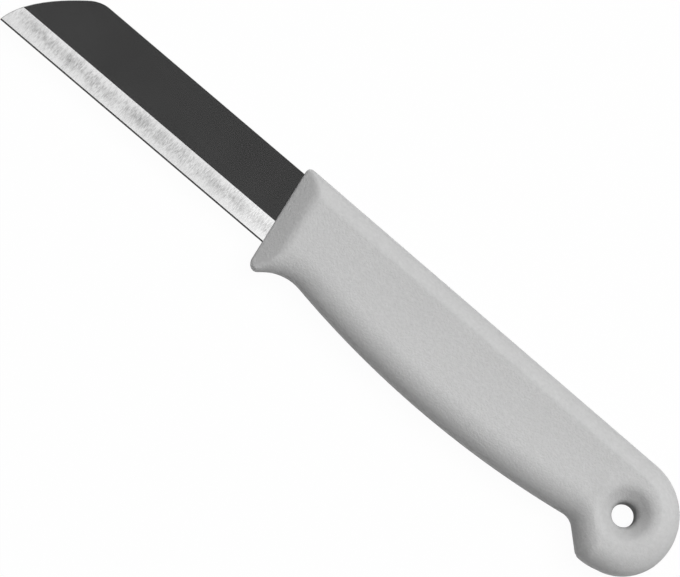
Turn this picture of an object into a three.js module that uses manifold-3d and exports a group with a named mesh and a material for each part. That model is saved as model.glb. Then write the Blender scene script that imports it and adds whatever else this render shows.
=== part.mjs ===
// A peeling knife: a stamped steel blade whose tang is held in a moulded plastic handle.
// Millimetres. The knife lies on its side: tip at -X, butt at +X, spine at +Y, +Z up.
// Both pieces are drawn from the heel, the point where the cutting edge enters the handle,
// with z = 0 halfway through their thickness.
import * as THREE from "three";
import { mergeVertices } from "three/addons/utils/BufferGeometryUtils.js";
import Module from "manifold-3d";

const wasm = await Module();
wasm.setup();

// Blade
const EDGE_LENGTH = 65; // straight cutting edge, from the heel to the tip
const BLADE_HEIGHT = 15.25; // cutting edge to spine
const BLADE_THICKNESS = 1;
const BEVEL_HEIGHT = 4.9; // ground band above the cutting edge
const HONE_HEIGHT = 0.3; // steeper honed strip along the edge
const HONE_THICKNESS = 0.25; // steel left where the honed strip starts
const TIP_SWEEP = 12.4; // from the tip back to where its curve meets the spine
const TIP_LEAN = 0.9; // the tip curve's control point, back from the tip
const TIP_RISE = 6.3; // and up from the cutting edge
const SPINE_CORNER = 2.1; // softening where the tip curve meets the spine

// Tang, hidden in the handle
const SHOULDER_DEPTH = 6; // full-height steel behind the heel
const TANG_END_INSET = 42; // tang end in from the butt
const TANG_HEIGHT = 9;
const TANG_RISE = 2; // tang's lower side above the cutting edge
const TANG_CORNER = 2.5;
const KEY_HOLE_DIAMETER = 4.6;
const KEY_HOLE_COUNT = 2;
const SEAT_GAP = 0.3; // moulding clearance all round the steel

// Handle outline, seen from the side
const HANDLE_LENGTH = 96.2; // heel to butt
const SPINE_COVER = 1.6; // plastic above the blade's spine
const SPINE_FALL = 0.8; // the handle's spine drops this much by the butt
const FRONT_RAKE = 7.6; // degrees the front face leans towards the tip
const FRONT_RADIUS = 1.1;
const GUARD_ANGLE = 44; // degrees between the beak's underside and the edge line
const GUARD_RADIUS = 1.7;
const FINGER_NOTCH_SETBACK = 6.6; // notch behind the beak, back from the heel
const FINGER_NOTCH_DROP = 1.4;
const FINGER_NOTCH_RADIUS = 9;
const BELLY_SHIFT = 1.5; // belly's corner behind the middle of the two notches
const BELLY_DROP = 7.7; // the same corner, before rounding, below the edge line
const BELLY_RADIUS = 196;
const HOOK_NOTCH_INSET = 18.4; // notch in front of the hook, in from the butt
const HOOK_NOTCH_DROP = 1.9;
const HOOK_NOTCH_RADIUS = 3.4;
const HOOK_ANGLE = 42; // degrees between the hook's front and the edge line
const HOOK_DROP = 6.7; // hook toe below the edge line
const HOOK_RADIUS = 2.5;
const BUTT_LOWER_RADIUS = 10.8;
const BUTT_UPPER_RADIUS = 12.2;

// Handle section
const HANDLE_THICKNESS = 11.5;
const FRONT_THICKNESS = 6.4; // handle thickness at the front face
const RIM_THICKNESS = 1; // upright strip round the rest of the outline
const FRONT_BAND = 4; // width of the slope between the outline and the flat side
const SPINE_BAND = 4;
const BELLY_BAND = 5;
const BUTT_BAND = 4.2;
const SIDE_CORNER = 1; // least corner radius of the flat side
const SIDE_ROUNDNESS = 2; // 2 is a quarter ellipse
const FRONT_ROUNDNESS = 1.25; // 1 is a straight chamfer

// Hanging hole
const HOLE_DIAMETER = 4.8;
const HOLE_INSET = 11.1; // centre in from the butt
const HOLE_FLARE = 4.4; // radius of the rounding at both mouths

// Fineness of the round stretches
const PROFILE_STEPS = 7;
const CORNER_STEPS = 6;
const BUTT_STEPS = 12;
const BELLY_STEPS = 16;
const HOLE_STEPS = 28;
const FLARE_STEPS = 6;
const CURVE_STEPS = 12;

const MERGE_DISTANCE = 1e-4;
const CUT_MARGIN = 2; // how far a cutter reaches past what it cuts

function solidFrom(geometry) {
  const bare = geometry.clone();
  bare.deleteAttribute("normal");
  bare.deleteAttribute("uv");
  const merged = mergeVertices(bare, MERGE_DISTANCE);
  return new wasm.Manifold(new wasm.Mesh({
    numProp: 3,
    vertProperties: merged.attributes.position.array,
    triVerts: Uint32Array.from(merged.index.array),
  }));
}

function geometryFrom(solid) {
  const mesh = solid.getMesh();
  const geometry = new THREE.BufferGeometry();
  geometry.setAttribute("position", new THREE.BufferAttribute(mesh.vertProperties, 3));
  geometry.setIndex(new THREE.BufferAttribute(mesh.triVerts, 1));
  geometry.computeVertexNormals();
  return geometry;
}

// The blade and tang seen from the side. grow moves every side that the handle covers outwards.
function bladeShape(grow) {
  const spine = BLADE_HEIGHT + grow;
  const shoulder = SHOULDER_DEPTH + grow;
  const tangLength = HANDLE_LENGTH - TANG_END_INSET - SHOULDER_DEPTH;
  const tangEnd = SHOULDER_DEPTH + tangLength + grow;
  const tangLow = TANG_RISE - grow;
  const tangHigh = TANG_RISE + TANG_HEIGHT + grow;
  const tip = new THREE.Vector2(-EDGE_LENGTH, -grow);
  const control = new THREE.Vector2(TIP_LEAN - EDGE_LENGTH, TIP_RISE);
  const corner = new THREE.Vector2(TIP_SWEEP - EDGE_LENGTH, spine);
  const beforeCorner = corner.clone().sub(control).setLength(SPINE_CORNER).negate().add(corner);

  const shape = new THREE.Shape();
  shape.moveTo(tip.x, tip.y);
  shape.lineTo(shoulder, -grow);
  shape.lineTo(shoulder, tangLow);
  shape.lineTo(tangEnd - TANG_CORNER, tangLow);
  shape.absarc(tangEnd - TANG_CORNER, tangLow + TANG_CORNER, TANG_CORNER, -Math.PI / 2, 0);
  shape.absarc(tangEnd - TANG_CORNER, tangHigh - TANG_CORNER, TANG_CORNER, 0, Math.PI / 2);
  shape.lineTo(shoulder, tangHigh);
  shape.lineTo(shoulder, spine);
  shape.lineTo(corner.x + SPINE_CORNER, spine);
  shape.quadraticCurveTo(corner.x, corner.y, beforeCorner.x, beforeCorner.y);
  shape.quadraticCurveTo(control.x, control.y, tip.x, tip.y);

  for (let i = 0; i < KEY_HOLE_COUNT; i++) {
    const x = SHOULDER_DEPTH + (tangLength * (i + 0.5)) / KEY_HOLE_COUNT;
    const y = TANG_RISE + TANG_HEIGHT / 2;
    const hole = new THREE.Path().absarc(x, y, KEY_HOLE_DIAMETER / 2 - grow, 0, 2 * Math.PI);
    shape.holes.push(hole);
  }
  return shape;
}

// The steel that grinding takes off one side, as a bar along the whole edge.
function grinding(side, grow) {
  const face = BLADE_THICKNESS / 2 + grow;
  const outside = face + CUT_MARGIN;
  const section = new THREE.Shape([
    new THREE.Vector2(BEVEL_HEIGHT, side * face),
    new THREE.Vector2(HONE_HEIGHT, side * (HONE_THICKNESS / 2 + grow)),
    new THREE.Vector2(0, side * grow),
    new THREE.Vector2(-CUT_MARGIN, side * grow),
    new THREE.Vector2(-CUT_MARGIN, side * outside),
    new THREE.Vector2(BEVEL_HEIGHT, side * outside),
  ]);
  const length = EDGE_LENGTH + SHOULDER_DEPTH + 2 * CUT_MARGIN;
  const bar = new THREE.ExtrudeGeometry(section, { depth: length, bevelEnabled: false });
  const alongX = new THREE.Matrix4().makeBasis(
    new THREE.Vector3(0, 1, 0),
    new THREE.Vector3(0, 0, 1),
    new THREE.Vector3(1, 0, 0),
  );
  bar.applyMatrix4(alongX);
  bar.translate(-EDGE_LENGTH - CUT_MARGIN, 0, 0);
  return solidFrom(bar);
}

// The ground blade with its tang. With a grow it is the cavity that the handle leaves for it.
function bladeSolid(grow) {
  const depth = BLADE_THICKNESS + 2 * grow;
  const options = { depth, bevelEnabled: false, curveSegments: CURVE_STEPS };
  const plate = new THREE.ExtrudeGeometry(bladeShape(grow), options);
  plate.translate(0, 0, -depth / 2);
  return solidFrom(plate).subtract(grinding(1, grow)).subtract(grinding(-1, grow));
}

// The handle's corners before rounding, anticlockwise from the front of its spine.
// Each band belongs to the side that leaves its corner.
function handleCorners() {
  const rake = Math.tan(THREE.MathUtils.degToRad(FRONT_RAKE));
  const guard = Math.tan(THREE.MathUtils.degToRad(GUARD_ANGLE));
  const hook = Math.tan(THREE.MathUtils.degToRad(HOOK_ANGLE));
  const top = BLADE_HEIGHT + SPINE_COVER;
  const hookNotch = HANDLE_LENGTH - HOOK_NOTCH_INSET;
  const belly = (FINGER_NOTCH_SETBACK + hookNotch) / 2 + BELLY_SHIFT;
  const hookToe = hookNotch + (HOOK_DROP - HOOK_NOTCH_DROP) / hook;
  const beak = -(FINGER_NOTCH_DROP + FINGER_NOTCH_SETBACK * guard) / (1 + rake * guard);
  const corner = (x, y, radius, steps, band) => ({ at: new THREE.Vector2(x, y), radius, steps, band });
  return [
    corner(-top * rake, top, FRONT_RADIUS, CORNER_STEPS, FRONT_BAND),
    corner(-beak * rake, beak, GUARD_RADIUS, CORNER_STEPS, BELLY_BAND),
    corner(FINGER_NOTCH_SETBACK, -FINGER_NOTCH_DROP, FINGER_NOTCH_RADIUS, CORNER_STEPS, BELLY_BAND),
    corner(belly, -BELLY_DROP, BELLY_RADIUS, BELLY_STEPS, BELLY_BAND),
    corner(hookNotch, -HOOK_NOTCH_DROP, HOOK_NOTCH_RADIUS, CORNER_STEPS, BUTT_BAND),
    corner(hookToe, -HOOK_DROP, HOOK_RADIUS, CORNER_STEPS, BUTT_BAND),
    corner(HANDLE_LENGTH, -HOOK_DROP, BUTT_LOWER_RADIUS, BUTT_STEPS, BUTT_BAND),
    corner(HANDLE_LENGTH, top - SPINE_FALL, BUTT_UPPER_RADIUS, BUTT_STEPS, SPINE_BAND),
  ];
}

// The direction of the side before a corner, the length of the side after it, and the turn between them.
function turnAt(corners, i) {
  const count = corners.length;
  const before = corners[i].at.clone().sub(corners[(i + count - 1) % count].at);
  const after = corners[(i + 1) % count].at.clone().sub(corners[i].at);
  const angle = Math.atan2(before.cross(after), before.dot(after));
  return { before: before.normalize(), side: after.length(), angle };
}

// Corners of the handle's flat side: every side moves in by its band.
function flatSideCorners(corners) {
  return corners.map((corner, i) => {
    const { before, angle } = turnAt(corners, i);
    const bandBefore = corners[(i + corners.length - 1) % corners.length].band;
    const slide = (bandBefore * Math.cos(angle) - corner.band) / Math.sin(angle);
    const inward = new THREE.Vector2(-before.y, before.x);
    const at = corner.at.clone().addScaledVector(inward, bandBefore).addScaledVector(before, slide);
    const band = (bandBefore + corner.band) / 2;
    const radius = angle > 0 ? Math.max(corner.radius - band, SIDE_CORNER) : corner.radius + band;
    return { ...corner, at, radius };
  });
}

// The outline with an arc at every corner. Arcs that would meet on a short side share it.
function roundedOutline(corners) {
  const count = corners.length;
  const turns = corners.map((corner, i) => turnAt(corners, i));
  const wanted = corners.map((corner, i) => corner.radius * Math.tan(Math.abs(turns[i].angle) / 2));
  const share = (i, j, side) => (wanted[i] * side) / Math.max(wanted[i] + wanted[j], side);
  return corners.flatMap((corner, i) => {
    const last = (i + count - 1) % count;
    const next = (i + 1) % count;
    const setback = Math.min(share(i, last, turns[last].side), share(i, next, turns[i].side));
    const { before, angle } = turns[i];
    const radius = setback / Math.tan(angle / 2);
    const start = corner.at.clone().addScaledVector(before, -setback);
    const centre = start.clone().addScaledVector(new THREE.Vector2(-before.y, before.x), radius);
    return Array.from({ length: corner.steps + 1 }, (_, step) =>
      start.clone().rotateAround(centre, (angle * step) / corner.steps));
  });
}

// How much each outline point belongs to the front face: 1 on it, fading round its two corners.
function frontShares(corners) {
  const [spineCorner, beakCorner] = corners;
  return corners.flatMap((corner) =>
    Array.from({ length: corner.steps + 1 }, (_, step) => {
      const share = THREE.MathUtils.smoothstep(step, 0, corner.steps);
      if (corner === spineCorner) return share;
      if (corner === beakCorner) return 1 - share;
      return 0;
    }));
}

// The solid handle: rings that climb from the outline to the flat side, above and below.
function handleBody() {
  const corners = handleCorners();
  const rim = roundedOutline(corners);
  const flat = roundedOutline(flatSideCorners(corners));
  const front = frontShares(corners);
  const count = rim.length;
  const positions = [];
  const addRing = (step, side) => {
    const angle = (step / PROFILE_STEPS) * (Math.PI / 2);
    for (let i = 0; i < count; i++) {
      const power = 2 / THREE.MathUtils.lerp(SIDE_ROUNDNESS, FRONT_ROUNDNESS, front[i]);
      const inward = 1 - Math.max(Math.cos(angle), 0) ** power;
      const climb = Math.sin(angle) ** power;
      const rimHeight = THREE.MathUtils.lerp(RIM_THICKNESS, FRONT_THICKNESS, front[i]) / 2;
      const point = rim[i].clone().lerp(flat[i], inward);
      const height = THREE.MathUtils.lerp(rimHeight, HANDLE_THICKNESS / 2, climb);
      positions.push(point.x, point.y, side * height);
    }
  };
  for (let step = PROFILE_STEPS; step >= 0; step--) addRing(step, -1);
  for (let step = 0; step <= PROFILE_STEPS; step++) addRing(step, 1);

  const indices = [];
  const lastRing = 2 * PROFILE_STEPS + 1;
  for (let ring = 0; ring < lastRing; ring++) {
    for (let i = 0; i < count; i++) {
      const a = ring * count + i;
      const b = ring * count + ((i + 1) % count);
      indices.push(a, b, b + count, a, b + count, a + count);
    }
  }
  for (const [a, b, c] of THREE.ShapeUtils.triangulateShape(flat, [])) {
    const top = lastRing * count;
    indices.push(a, c, b, top + a, top + b, top + c);
  }

  const geometry = new THREE.BufferGeometry();
  geometry.setAttribute("position", new THREE.Float32BufferAttribute(positions, 3));
  geometry.setIndex(indices);
  return solidFrom(geometry);
}

// The hanging hole: a bore flared by a quarter round at each side of the handle,
// with at least the rim's thickness left straight.
function hangingHole() {
  const half = HANDLE_THICKNESS / 2;
  const flare = Math.min(HOLE_FLARE, half - RIM_THICKNESS / 2);
  const mouth = HOLE_DIAMETER / 2 + flare;
  const outside = half + CUT_MARGIN;
  const section = new THREE.Path();
  section.moveTo(0, -outside);
  section.lineTo(mouth, -outside);
  section.absarc(mouth, flare - half, flare, -Math.PI / 2, -Math.PI, true);
  section.absarc(mouth, half - flare, flare, Math.PI, Math.PI / 2, true);
  section.lineTo(mouth, outside);
  section.lineTo(0, outside);
  const cutter = new THREE.LatheGeometry(section.getPoints(FLARE_STEPS), HOLE_STEPS);
  cutter.rotateX(Math.PI / 2);
  const middle = (BLADE_HEIGHT + SPINE_COVER - SPINE_FALL - HOOK_DROP) / 2;
  cutter.translate(HANDLE_LENGTH - HOLE_INSET, middle, 0);
  return solidFrom(cutter);
}

function makeBlade() {
  const steel = new THREE.MeshStandardMaterial({ color: "#8d8f91", metalness: 1, roughness: 0.25 });
  const blade = new THREE.Mesh(geometryFrom(bladeSolid(0)), steel);
  blade.name = "blade";
  return blade;
}

function makeHandle() {
  const plastic = new THREE.MeshStandardMaterial({ color: "#c8c8c8", metalness: 0, roughness: 0.55 });
  const solid = handleBody().subtract(bladeSolid(SEAT_GAP)).subtract(hangingHole());
  const handle = new THREE.Mesh(geometryFrom(solid), plastic);
  handle.name = "handle";
  return handle;
}

// The finished knife rests on one flat side, centred over the origin.
const knife = new THREE.Group();
knife.add(makeBlade(), makeHandle());
const box = new THREE.Box3().setFromObject(knife);
const middle = box.getCenter(new THREE.Vector3());
knife.position.set(-middle.x, -middle.y, -box.min.z);

export default knife;
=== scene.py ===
"""A peeling knife: a ground steel blade in a moulded plastic handle, lying on a white table."""
import math
from typing import NamedTuple

import bmesh
import bpy
from bpy.props import FloatProperty, FloatVectorProperty, PointerProperty
from mathutils import Matrix, Vector
from mathutils.geometry import delaunay_2d_cdt, intersect_line_line_2d
from mathutils.geometry import intersect_point_line, tessellate_polygon


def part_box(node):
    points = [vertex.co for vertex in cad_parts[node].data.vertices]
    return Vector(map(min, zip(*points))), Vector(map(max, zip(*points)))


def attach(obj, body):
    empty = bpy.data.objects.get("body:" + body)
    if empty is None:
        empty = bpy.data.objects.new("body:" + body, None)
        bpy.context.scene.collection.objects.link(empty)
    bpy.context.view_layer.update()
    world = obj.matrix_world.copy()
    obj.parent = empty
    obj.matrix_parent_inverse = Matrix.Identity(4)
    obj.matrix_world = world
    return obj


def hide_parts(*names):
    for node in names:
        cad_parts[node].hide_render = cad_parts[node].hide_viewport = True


bl_info = {
    "name": "Peeling Knife",
    "version": (1, 0, 0),
    "blender": (4, 5, 0),
    "location": "3D View > Sidebar > Peeling Knife",
    "description": "Builds a peeling knife with a ground blade and a moulded handle",
    "category": "Add Mesh",
}

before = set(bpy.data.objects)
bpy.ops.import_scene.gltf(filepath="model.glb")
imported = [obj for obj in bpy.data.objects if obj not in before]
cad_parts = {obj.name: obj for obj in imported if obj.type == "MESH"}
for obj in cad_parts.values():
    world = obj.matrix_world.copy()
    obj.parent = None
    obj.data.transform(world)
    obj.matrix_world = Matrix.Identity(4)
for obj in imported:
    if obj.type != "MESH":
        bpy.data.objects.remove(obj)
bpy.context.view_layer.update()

MM = 0.001
BLADE_LOW, BLADE_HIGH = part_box("blade")
HANDLE_LOW, HANDLE_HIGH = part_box("handle")
EDGE_LENGTH = 65 * MM
SPINE_WEAR = 0.07 * MM
MIDDLE_HEIGHT = (BLADE_LOW.z + BLADE_HIGH.z) / 2

# The heel is where the cutting edge enters the handle, halfway through the blade's thickness.
HEEL = Vector((BLADE_LOW.x + EDGE_LENGTH, BLADE_LOW.y, MIDDLE_HEIGHT))
TANG_END = BLADE_HIGH.x - HEEL.x

# How the handle's mesh is cut. Its land and collar are narrow strips round each flat face and each dish.
OUTLINE_SPACING = 1.6 * MM
FACE_SPACING = 1.2 * MM
FACE_MARGIN = 0.5 * MM
LAND_WIDTH = 0.3 * MM
COLLAR_WIDTH = 0.4 * MM
COLLAR_LIMIT = 0.95
PROFILE_STEPS = 16
DISH_STEPS = 14
SPOKES = 96
WALL_PARTS = (0.9, 0.5, 0)
CORNER_SHIFTS = (-1, -0.5, 0, 0.5, 1)
TOE_CORNER = 5

# How the blade's mesh is cut. Its broken edges are in multiples of the edge break: at the spine down and
# in, and at the tip back, in and the least share of the thickness.
BEVEL_STEPS = 8
FLAT_STEPS = 12
LENGTH_STEPS = 48
TANG_STEPS = 8
SPINE_EDGE = ((1, 0), (0.3, 0.3), (0, 1))
TIP_EDGE = ((0, 1, 0.3), (0.6, 0.3, 0.7), (1.6, 0, 1))
KEY_HOLE_PLACES = (0.25, 0.75)
KEY_HOLE_STEPS = 32

# The tang is a trace thinner than the blade, and the handle's cavity a trace larger than both.
TANG_TRACE = 0.01 * MM
CAVITY_TRACE = 0.02 * MM

# Creases sharper than these stay crisp, and points nearer than this are one.
PLASTIC_CREASE = math.radians(40)
STEEL_CREASE = math.radians(30)
ONE_POINT = 1e-6

LAMP_DISTANCE = 2
TABLE_HALF = 3


def length(name, description, millimetres):
    """A size in the sidebar, written in millimetres."""
    return FloatProperty(
        name=name, description=description, default=millimetres * MM, min=0, unit="LENGTH", precision=5
    )


def angle(name, description, degrees):
    """An angle in the sidebar, written in degrees."""
    return FloatProperty(
        name=name, description=description, default=math.radians(degrees), subtype="ANGLE"
    )


def share(name, description, default):
    """A plain number from 0 to 1 in the sidebar."""
    return FloatProperty(name=name, description=description, default=default, min=0, max=1, subtype="FACTOR")


def roundness(name, description, exponent):
    """The bend of a rounding in the sidebar: 2 is an ellipse, 1 a straight slope."""
    return FloatProperty(name=name, description=description, default=exponent, min=1)


def grey(name, description, level):
    """A neutral colour in the sidebar."""
    return FloatVectorProperty(
        name=name, description=description, default=(level, level, level), min=0, max=1, subtype="COLOR"
    )


def power(name, description, watts):
    """A lamp's power in the sidebar."""
    return FloatProperty(name=name, description=description, default=watts, min=0, unit="POWER")


class BladeSettings(bpy.types.PropertyGroup):
    """Sizes and finishes of the steel blade."""

    height: length("Height", "Edge line to worn spine", (BLADE_HIGH.y - BLADE_LOW.y - SPINE_WEAR) / MM)
    edge_wear: length("Edge wear", "Steel that honing has taken off", 0.07)
    thickness: length("Thickness", "Thickness of the steel", (BLADE_HIGH.z - BLADE_LOW.z) / MM)
    bevel_height: length("Bevel height", "Ground band above the cutting edge", 4.68)
    bevel_hollow: length("Bevel hollow", "Depth that the grinding wheel hollows the bevel", 0.006)
    hone_height: length("Hone height", "Steeper honed strip along the edge", 0.38)
    hone_thickness: length("Hone thickness", "Steel left where the honed strip starts", 0.25)
    tip_sweep: length("Tip sweep", "Tip back to where its curve meets the spine", 12.3)
    tip_lean: length("Tip lean", "Control point of the tip's curve, back from the tip", 1.1)
    tip_rise: length("Tip rise", "Control point of the tip's curve, up from the edge", 6.3)
    spine_corner: length("Spine corner", "Softening where the tip curve meets the spine", 2.3)
    edge_break: length("Edge break", "Rounding of the sheared edges", 0.08)
    shoulder_depth: length("Shoulder depth", "Full-height steel behind the heel", 6)
    tang_height: length("Tang height", "Height of the tang", 9)
    tang_rise: length("Tang rise", "Lower side of the tang above the cutting edge", 2)
    tang_corner: length("Tang corner", "Rounding of the tang's end", 2.5)
    key_hole: length("Key hole", "Diameter of the holes through the tang", 4.6)
    # Partly real polish and partly painted light: the bevel is smoother towards the heel, and also painted
    # lighter there.
    heel_polish_and_light: length("Heel polish", "Finer grinding of the bevel ahead of the handle", 22)
    tip_polish: length("Tip polish", "Finer grinding of the bevel behind the tip", 12)
    flat_colour: grey("Flat colour", "Polished flats of the blade", 0.45)
    bevel_colour: grey("Bevel colour", "Crosswise ground bevel", 0.95)
    # Painted shade: the honed strip is coloured near black for the dark that the steeper strip mirrors.
    hone_painted_shade: grey("Hone colour", "Honed strip at the very edge", 0.06)


class HandleSettings(bpy.types.PropertyGroup):
    """Sizes and finish of the moulded handle."""

    length: length("Length", "Heel to butt", (HANDLE_HIGH.x - HEEL.x) / MM)
    thickness: length("Thickness", "Thickness over both flat sides", (HANDLE_HIGH.z - HANDLE_LOW.z) / MM)
    front_thickness: length("Front thickness", "Thickness at the front face", 2.2)
    taper: length("Taper", "How much each flat side falls towards the front", 1.2)
    taper_length: length("Taper length", "Heel back to where the flat sides start to fall", 36)
    rim_thickness: length("Rim thickness", "Upright strip round most of the outline", 1)
    toe_rim_thickness: length("Toe rim thickness", "Upright strip under the hook's toe", 2)
    butt_rim_thickness: length("Butt rim thickness", "Upright strip round the butt", 2.4)
    spine_cover: length("Spine cover", "Plastic above the blade's spine", 1.665)
    spine_fall: length("Spine fall", "Drop of the handle's spine by the butt", 0.66)
    front_rake: angle("Front rake", "Lean of the front face towards the tip", 8.4)
    front_radius: length("Front radius", "Rounding between the front face and the spine", 1.1)
    guard_angle: angle("Guard angle", "Underside of the beak against the edge line", 43.4)
    guard_radius: length("Guard radius", "Rounding of the beak", 1.7)
    finger_setback: length("Finger notch setback", "Notch behind the beak, back from the heel", 6.6)
    finger_drop: length("Finger notch drop", "Notch behind the beak, below the edge line", 1.4)
    finger_radius: length("Finger notch radius", "Rounding of the notch behind the beak", 9)
    belly_shift: length("Belly shift", "Belly's corner behind the middle of the two notches", 1.5)
    belly_drop: length("Belly drop", "Belly's corner, before rounding, below the edge line", 7.6)
    belly_radius: length("Belly radius", "Rounding of the bowed belly", 196)
    hook_inset: length("Hook notch inset", "Notch in front of the hook, in from the butt", 18.4)
    hook_notch_drop: length("Hook notch drop", "Notch in front of the hook, below the edge line", 1.9)
    hook_notch_radius: length("Hook notch radius", "Rounding of the notch in front of the hook", 3.4)
    hook_angle: angle("Hook angle", "Front of the hook against the edge line", 42)
    hook_drop: length("Hook drop", "Hook toe below the edge line", 6.7)
    hook_radius: length("Hook radius", "Rounding of the hook's toe", 2.5)
    butt_start: length("Butt start", "Hook's toe to where the underside starts to rise", 2.56)
    butt_slope: angle("Butt slope", "Underside of the butt against the edge line", 14)
    butt_start_radius: length("Butt start radius", "Rounding where the underside starts to rise", 12)
    butt_lower_radius: length("Lower butt radius", "Rounding under the butt", 10.1)
    butt_upper_radius: length("Upper butt radius", "Rounding over the butt", 12.2)
    front_band: length("Front band", "Slope between the front face and the flat side", 4.9)
    front_slope: angle("Front slope", "Steepness of the slope behind the front face", 39)
    front_overlap: length("Front overlap", "Front face ahead of the heel", 0.06)
    front_ease: length("Front ease", "Rounding of the front face's edges", 0.22)
    guard_band: length("Guard band", "Slope between the beak's underside and the flat side", 5)
    spine_band: length("Spine band", "Slope between the spine and the flat side", 4)
    belly_band: length("Belly band", "Slope between the belly and the flat side", 5)
    butt_band: length("Butt band", "Slope between the butt and the flat side", 4.2)
    side_roundness: roundness("Side roundness", "Bend of the other roundings: 2 is an ellipse, 1 a slope", 2)
    guard_roundness: roundness("Guard roundness", "Bend of the rounding under the beak", 2.1)
    butt_roundness: roundness("Butt roundness", "Bend of the rounding round the butt", 1.45)
    spine_roundness: roundness("Spine roundness", "Bend of the rounding along the spine", 1.5)
    corner_roundness: roundness("Corner roundness", "Bend of the rounding at the spine's front corner", 1.9)
    corner_fade: length("Corner fade", "Front corner to where the spine has its own bend", 7)
    hook_roundness: roundness("Hook roundness", "Bend of the rounding along the front of the hook", 1.75)
    sink: length("Sink", "Hollow of the flat sides", 0.35)
    sink_width: length("Sink width", "Flat side's border to the bottom of the hollow", 6.5)
    side_corner: length("Side corner", "Least corner radius of the flat side", 1)
    hole_diameter: length("Hole diameter", "Hanging hole at its narrowest", 4.53)
    hole_inset: length("Hole inset", "Centre of the hanging hole, in from the butt", 11)
    hole_rise: length("Hole rise", "Centre of the hanging hole above the middle of the butt", 0.07)
    dish_width: length("Dish width", "Dish round each mouth of the hanging hole", 4.2)
    dish_slope: angle("Dish slope", "Steepness of the dish", 48)
    dish_brim: length("Dish brim", "Rounding from the flat side into the dish", 2.8)
    dish_lip: length("Dish lip", "Rounding from the dish into the hole", 3.6)
    front_blend: length("Front blend", "Softening where the front slope meets the flat side", 0.8)
    corner_blend: length("Corner blend", "Softening where the front slope meets the spine", 3)
    corner_spread: length("Corner spread", "How far the corner's softening spreads along the spine", 0.7)
    guard_blend: length("Guard blend", "Softening where the front slope meets the finger guard", 1.6)
    toe_blend: length("Toe blend", "Softening over the hook's toe", 2)
    ridge_blend: length("Ridge blend", "Softening where two slopes of the handle meet", 0.6)
    seam_width: length("Seam width", "Width of the parting line round the handle", 0.3)
    seam_height: length("Seam height", "How far the parting line stands proud", 0.03)
    colour: grey("Colour", "Light grey plastic", 0.55)
    grain: length("Grain", "Size of the moulded grain", 0.42)
    # Painted shade: how much darker the plastic is painted inside the hanging hole, for the shadow there.
    painted_hole_shade: share("Painted hole shade", "Darkening inside the hanging hole", 0.42)
    painted_hole_shade_width: length("Grime width", "How far out of the hole the grime fades", 0.3)


class StageSettings(bpy.types.PropertyGroup):
    """Camera, lamps and table."""

    camera_distance: length("Camera distance", "Camera to the knife", 1500)
    camera_tilt: angle("Camera tilt", "Camera leans from overhead towards the belly", 8.5)
    camera_roll: angle("Camera roll", "Knife's axis in the picture, below the horizontal", 40.368)
    picture_width: length("Picture width", "Width of the picture at the knife", 128.28)
    aim_setback: length("Aim setback", "Middle of the picture, back from the heel", 16.81)
    aim_rise: length("Aim rise", "Middle of the picture, up from the edge line", 2.965)
    key_power: power("Key lamp power", "Soft lamp over the spine and the butt", 45.2)
    key_tilt: angle("Key lamp tilt", "Key lamp from overhead", 20.5)
    key_bearing: angle("Key lamp bearing", "Key lamp round from the butt towards the spine", 54)
    key_size: length("Key lamp size", "Width of the key lamp", 1400)
    spine_power: power("Spine lamp power", "Low soft lamp beyond the spine", 2.5)
    spine_tilt: angle("Spine lamp tilt", "Spine lamp from overhead", 70)
    spine_bearing: angle("Spine lamp bearing", "Spine lamp round from the butt towards the spine", 90)
    spine_size: length("Spine lamp size", "Width of the spine lamp", 1000)
    room_light: share("Room light", "Even light from the room", 0.031)
    card_level: share("Card level", "Black card that the polished steel mirrors", 0.08)
    card_tilt: angle("Card tilt", "Middle of the black card, from overhead towards the spine", 35)
    card_reach: angle("Card reach", "Half the angle that the black card fills", 30)
    card_edge: angle("Card edge", "Half the angle of the black card with its soft edge", 32)
    table_colour: grey("Table colour", "Pale table under the knife", 0.8)
    table_shade: share("Table shade", "How much of the knife's shadow the table shows", 0.03)


class Link:
    """A shader node's output. Arithmetic on it adds Math nodes."""

    def __init__(self, nodes, socket):
        self.nodes = nodes
        self.socket = socket

    def output(self, name):
        """Another output of the same node."""
        return Link(self.nodes, self.socket.node.outputs[name])

    def __add__(self, other):
        return self.nodes.math("ADD", self, other)

    def __sub__(self, other):
        return self.nodes.math("SUBTRACT", self, other)

    def __rsub__(self, other):
        return self.nodes.math("SUBTRACT", other, self)

    def __mul__(self, other):
        return self.nodes.math("MULTIPLY", self, other)

    __radd__ = __add__
    __rmul__ = __mul__


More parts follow.
